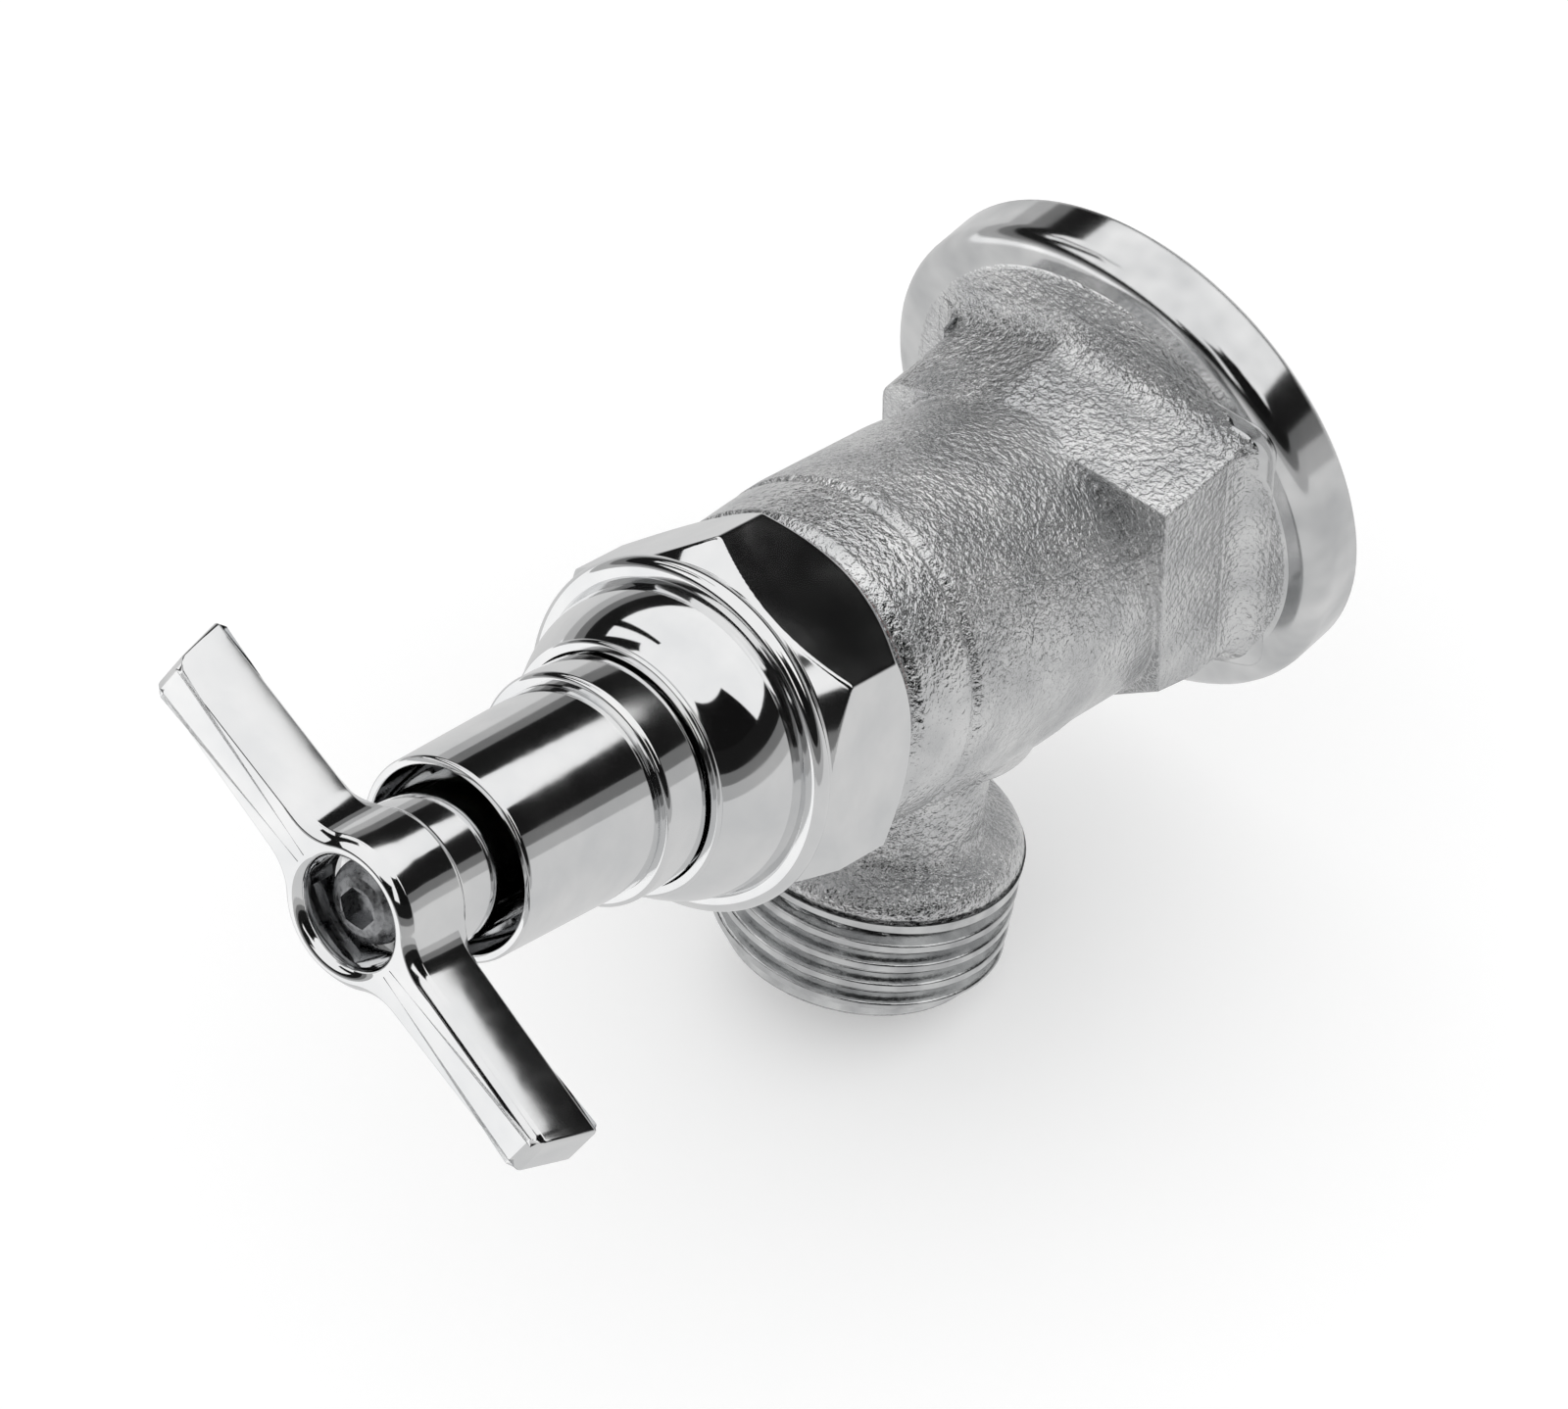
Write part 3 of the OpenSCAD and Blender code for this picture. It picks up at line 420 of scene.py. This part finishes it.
def turned(loop, angle, trim=None):
    """A closed profile of radius and place, carried round the stem axis. trim is a radius for
    each angle that the metal doesn't pass."""
    radius = np.broadcast_to(loop[:, :1], (len(loop), angle.size))
    if trim is not None:
        radius = soft_least(radius, trim[None, :], 0.12)
    points = (stem_foot + (radius * np.cos(angle))[..., None] * across
              + (radius * np.sin(angle))[..., None] * stem_up
              + loop[:, 1][:, None, None] * stem_axis).reshape(-1, 3)
    return points, outward(points, ring_faces(len(loop), angle.size))


corner_radius = flats / np.cos(np.pi / 6)
front = ring_at - 1.4
hexagon = rounded([[12.5, hex_at - 0.3], [flats - 0.3, hex_at],
                   [corner_radius + 0.4, hex_at + hex_back],
                   [corner_radius + 0.4, front - hex_front], [flats - 0.1, front],
                   [flats - 0.1, ring_at - 0.3], [12.5, ring_at - 0.3]],
                  [0.1, 0.25, 0.2, 0.2, 0.2, 0.1, 0.1])
hexagon = spaced(hexagon, 6, 29, 0.2)
nut_angle = np.radians(hex_turn) + np.linspace(0, 2 * np.pi, 432, endpoint=False)
points, faces = turned(hexagon, nut_angle, hex_reach(nut_angle))
show("cap_nut_hexagon", points, faces, bright_chrome, "valve", "cap_nut",
     crease=50)

a = np.radians(np.linspace(6, 62, 26))
rise = lip_at - dome_at - 0.7
dome = np.stack([lip_radius - 0.2 + (dome_radius - lip_radius + 0.1) * np.cos(a * 1.45),
                 dome_at + rise * np.sin(a) / np.sin(np.radians(62))], 1)
b = np.radians(np.linspace(-80, 90, 16))
bead = np.stack([ring_radius - ring_half + ring_half * np.cos(b),
                 ring_at + ring_half * 0.4 + ring_half * np.sin(b)], 1)
roll = np.radians(np.linspace(0, 90, 6))
lip = np.stack([lip_radius - 0.35 + 0.35 * np.cos(roll), lip_at - 0.35 + 0.35 * np.sin(roll)], 1)
crown = np.concatenate([
    [[12.5, 42.0], [12.5, ring_at - 1], [ring_radius - ring_half, ring_at - ring_half * 0.6]],
    bead, [[dome_radius + 0.35, ring_at + ring_half * 1.4], [dome_radius + 0.12, dome_at]],
    dome, lip, [[lip_radius - 0.9, lip_at], [lip_radius - 1.2, lip_at - 0.5],
                [8.2, lip_at - 0.5], [8.2, 64.8], [6.45, 64.8], [6.45, 46.6], [7.9, 46.6],
                [7.9, 42.0]]])
round_angle = np.linspace(0, 2 * np.pi, 256, endpoint=False)
points, faces = turned(crown, round_angle)
show("cap_nut_dome", points, faces, bright_chrome, "valve", crease=40)

# Gland nut and barrel
# The gland nut presses the packing down. Only its collar shows. The barrel is a plated sleeve
# on the gland nut's spigot, and its open front lets the handle's shank run in and out.

collar_at, collar_radius, barrel_at, barrel_end = 74.545, 10.4, 79.145, 95.145
collar = rounded([[4.95, 71.6], [7.7, 71.6], [8.15, 72.1], [8.15, collar_at - 0.3],
                  [collar_radius, collar_at - 0.3], [collar_radius, barrel_at],
                  [7.3, barrel_at], [7.3, 85.745], [4.95, 85.745]],
                 [0.05, 0.1, 0.1, 0.05, 0.45, 0.55, 0.05, 0.2, 0.05])
points, faces = turned(collar, round_angle)
show("gland_collar", points, faces, bright_chrome, "valve", "gland_nut",
     crease=40)

sleeve = rounded([[7.35, barrel_at], [9.35, barrel_at], [9.05, barrel_end],
                  [8.25, barrel_end], [8.25, 83.645], [7.35, 83.645]],
                 [0.05, 0.3, 0.35, 0.25, 0.05, 0.05])
points, faces = turned(sleeve, round_angle)
show("stem_barrel", points, faces, bright_chrome, "valve", "barrel",
     crease=40)

# Tee handle
# One brass forging, polished and chrome plated: a round hub and shank with two arms, each
# bevelled on its edges and cut to a slope at its tip. A recess in the hub takes its screw.

arm_at, hub_end, shank_at = 100.945, 107.645, 88.345
tee_turn, half_span, tip_slope = -25.6, 26.1, np.tan(np.radians(14.0))
root, tip, hub_radius, blend, bevel = 2.95, 2.4, 6.9, 4.5, 0.9
shank_radius, recess_radius, rim = 6.7, 4.8, 1.1
reach_x = np.sqrt((hub_radius + blend) ** 2 - (root + blend) ** 2)
meet = np.arctan2(root + blend, reach_x)

# A quarter of the plan, from the tip's middle to the hub's side: the end, a rounded corner,
# the arm's edge, an arc that blends it into the hub, and the hub's own circle.
corner = 0.35
k = np.linspace(0, 1, 25)[:, None]
q = np.linspace(0, np.pi / 2, 6)[:, None]
end_face = np.hstack([np.full((6, 1), half_span), np.linspace(0, tip - corner, 6)[:, None]])
tip_corner = [half_span - corner, tip - corner] + corner * np.hstack([np.cos(q), np.sin(q)])
edge = np.hstack([half_span - corner + (reach_x - half_span + corner) * k,
                  tip + (root - tip) * k])
g = np.linspace(-np.pi / 2, -(np.pi - meet), 16)[:, None]
neck = [reach_x, root + blend] + blend * np.hstack([np.cos(g), np.sin(g)])
h = np.linspace(meet, np.pi / 2, 20)[:, None]
hub = hub_radius * np.hstack([np.cos(h), np.sin(h)])
quarter = np.concatenate([end_face, tip_corner[1:], edge[1:], neck[1:], hub[1:]])
upper = np.concatenate([quarter, (quarter * [-1, 1])[-2::-1]])
plan = np.concatenate([upper, (upper * [1, -1])[-2:0:-1]])
step = np.roll(plan, -1, 0) - np.roll(plan, 1, 0)
side = np.stack([step[:, 1], -step[:, 0]], -1) / np.linalg.norm(step, axis=1)[:, None]
polar = np.arctan2(plan[:, 1], plan[:, 0])
round_unit = np.stack([np.cos(polar), np.sin(polar)], -1)
on_arm = np.clip((np.linalg.norm(plan, axis=1) - 7.1) / 2.0, 0, 1)[:, None]
at_tip = np.clip((np.abs(plan[:, :1]) - half_span + 2.2) / 1.6, 0, 1)
outwards = np.sign(plan[:, :1])


def level(place, inset=None, circle=None):
    """One row of the handle: a circle of the given radius, or the plan drawn in by inset, at
    a place along the stem. The tips draw back towards the front with the slope."""
    if circle is not None:
        flat = round_unit * circle
    else:
        slide = np.hstack([-outwards * at_tip * tip_slope * (place - arm_at), 0 * outwards])
        flat = plan - side * inset + slide
    return np.hstack([flat, np.full((len(plan), 1), place)])


r = np.radians(np.linspace(0, 90, 8))
rows = [level(shank_at, circle=4.95), level(shank_at, circle=shank_radius - 0.5),
        level(shank_at + 0.15, circle=shank_radius - 0.15),
        level(shank_at + 0.5, circle=shank_radius), level(arm_at - 0.6, circle=shank_radius),
        level(arm_at - 0.4, circle=shank_radius), level(arm_at, on_arm * bevel),
        level(arm_at + 0.05, on_arm * (bevel - 0.08)),
        level(arm_at + bevel - 0.1, on_arm * 0.06), level(arm_at + bevel + 0.05, 0),
        level((arm_at + hub_end) / 2, 0), level(hub_end - bevel - 0.08, 0),
        level(hub_end - bevel + 0.08, 0.05), level(hub_end - 0.45, 0.4),
        level(hub_end - 0.08, bevel - 0.12), level(hub_end, bevel + 0.03)]
rows += [level(hub_end - 1.43 * (1 - np.cos(i)), circle=5.85 - (rim - 0.05) * np.sin(i))
         for i in r]
rows += [level(103.3, circle=recess_radius), level(103.245, circle=recess_radius - 0.05),
         level(103.245, circle=2.3), level(101.3, circle=2.3), level(101.3, circle=4.6),
         level(90.6, circle=4.6), level(90.55, circle=4.95)]
grid = np.stack(rows)
spin = np.radians(tee_turn)
flat_x = grid[..., 0] * np.cos(spin) - grid[..., 1] * np.sin(spin)
flat_y = grid[..., 0] * np.sin(spin) + grid[..., 1] * np.cos(spin)
points = (stem_foot + flat_x[..., None] * across + flat_y[..., None] * stem_up
          + grid[..., 2:] * stem_axis).reshape(-1, 3)
faces = outward(points, ring_faces(len(rows), len(plan)))
show("tee_handle_forging", points, faces, bright_chrome, "handle",
     "tee_handle", crease=60)

# Handle screw
# A domed steel machine screw with a six-sided socket holds the handle on the stem's square
# end. Its head keeps the solid's own shape, in the satin steel of the lock washer.

frame["nodes"]["handle_screw"].data.materials.clear()
frame["nodes"]["handle_screw"].data.materials.append(satin_steel)

# Table, studio and camera
# The faucet stands over a plain white table in a white tent. Dark screens beside the tent's
# openings give the polished metal its black edges, and nothing but that metal sees them.

floor_z = cad_box[0][2] - 0.5 * mm
floor_mesh = bpy.data.meshes.new("table_top")
floor_mesh.from_pydata([(-4, -4, floor_z), (4, -4, floor_z), (4, 4, floor_z), (-4, 4, floor_z)],
                       [], [(0, 1, 2, 3)])
floor = bpy.data.objects.new("table_top", floor_mesh)
bpy.context.collection.objects.link(floor)
white_table, t, surface = start_material("white_table")
path = add(t, "ShaderNodeLightPath")
seen = add(t, "ShaderNodeMath", {0: path.outputs["Is Camera Ray"],
                                 1: path.outputs["Is Glossy Ray"]}, operation="MAXIMUM")
seen = add(t, "ShaderNodeMath", {0: seen.outputs[0], 1: path.outputs["Is Transmission Ray"]},
           operation="MAXIMUM")
lift = add(t, "ShaderNodeMath", {0: seen.outputs[0], 1: 0.2}, operation="MULTIPLY")
card = add(t, "ShaderNodeBsdfDiffuse", {"Color": paint("#f0f0f0")})
glow = add(t, "ShaderNodeEmission", {"Color": paint("#ffffff"), "Strength": lift.outputs[0]})
both = add(t, "ShaderNodeAddShader", {0: card.outputs[0], 1: glow.outputs[0]})
t.links.new(both.outputs[0], surface)
floor_mesh.materials.append(white_table)

world = bpy.data.worlds.new("white_tent")
bpy.context.scene.world = world
world.use_nodes = True
world.node_tree.nodes["Background"].inputs["Color"].default_value = (1, 1, 1, 1)
world.node_tree.nodes["Background"].inputs["Strength"].default_value = 1.0


def screen(name, azimuth, elevation, code, radius=1.2):
    """A piece of a sphere round the faucet, between two azimuths, from the wall side towards
    the right hand, and two elevations, all in degrees. Only mirror reflections see it."""
    az, el = np.meshgrid(np.radians(np.linspace(*azimuth, 41)),
                         np.radians(np.linspace(*elevation, 15)))
    p = radius * np.stack([np.sin(az) * np.cos(el), np.cos(az) * np.cos(el), np.sin(el)], -1)
    i = np.arange(40)[None, :] + 41 * np.arange(14)[:, None]
    quads = np.stack([i, i + 1, i + 42, i + 41], -1).reshape(-1, 4)
    mesh = bpy.data.meshes.new(name)
    mesh.from_pydata((p.reshape(-1, 3) + [0, -0.05, 0]).tolist(), [], quads.tolist())
    piece = bpy.data.objects.new(name, mesh)
    bpy.context.collection.objects.link(piece)
    cloth, t, surface = start_material(name + "_cloth")
    glow = add(t, "ShaderNodeEmission", {"Color": paint(code), "Strength": 1.0})
    t.links.new(glow.outputs[0], surface)
    mesh.materials.append(cloth)
    piece.visible_camera = piece.visible_diffuse = piece.visible_shadow = False
    piece.visible_transmission = piece.visible_volume_scatter = False


screen("screen_low", (-180, 180), (-2, 8), "#b4b4b4")
screen("screen_round", (-180, 180), (8, 16), "#757575")
screen("screen_dark", (-180, 180), (16, 31), "#1c1c1c")
screen("screen_right", (66, 140), (31, 63), "#141414")
screen("screen_front", (152, 178), (31, 46), "#141414")
screen("screen_left_slit", (-83, -76), (31, 66), "#101010")
screen("screen_left", (-114, -97), (31, 56), "#181818")

# A grey card just over the table that only mirror reflections see, like the screens. It is a
# painted reflection: the polished metal shows the table grey, while the camera sees the table
# white.
grey_mesh = bpy.data.meshes.new("grey_card")
grey_z = floor_z + 0.2 * mm
grey_mesh.from_pydata([(0.05, -1.2, grey_z), (1.2, -1.2, grey_z), (1.2, 1.2, grey_z),
                       (-1.2, 1.2, grey_z), (-1.2, -0.02, grey_z), (0, -0.14, grey_z)], [],
                      [(0, 1, 2, 3, 4, 5)])
grey = bpy.data.objects.new("grey_card", grey_mesh)
bpy.context.collection.objects.link(grey)
grey_paper, t, surface = start_material("grey_paper")
glow = add(t, "ShaderNodeEmission", {"Color": paint("#d6d6d6"), "Strength": 1.0})
t.links.new(glow.outputs[0], surface)
grey_mesh.materials.append(grey_paper)
grey.visible_camera = grey.visible_diffuse = grey.visible_shadow = False
grey.visible_transmission = grey.visible_volume_scatter = False

# The photograph was taken through a long lens, from above and from the right of the handle.
# The two offsets are where the inlet's centre lies in the 1600 by 1438 pixel picture.
turn_to, tilt, distance, focal_pixels = 0.7143285, 0.8486332, 0.6968434, 8000.0
inlet_x, inlet_y, middle_x, middle_y = 1167.83, 436.85, 800.0, 719.0
back = np.array([np.sin(turn_to) * np.cos(tilt), -np.cos(turn_to) * np.cos(tilt), np.sin(tilt)])
right = np.array([np.cos(turn_to), np.sin(turn_to), 0.0])
up = np.cross(back, right)
eye = (back - (inlet_x - middle_x) / focal_pixels * right
       + (inlet_y - middle_y) / focal_pixels * up) * distance
lens = bpy.data.cameras.new("long_lens")
lens.lens, lens.sensor_width, lens.sensor_fit = 180.0, 36.0, "HORIZONTAL"
lens.clip_start, lens.clip_end = 0.01, 50.0
camera = bpy.data.objects.new("long_lens", lens)
bpy.context.collection.objects.link(camera)
camera.matrix_world = Matrix([[*row, e] for row, e in zip(np.stack([right, up, back], 1), eye)]
                             + [[0, 0, 0, 1]])
bpy.context.scene.camera = camera
bpy.context.scene.view_settings.view_transform = "Standard"
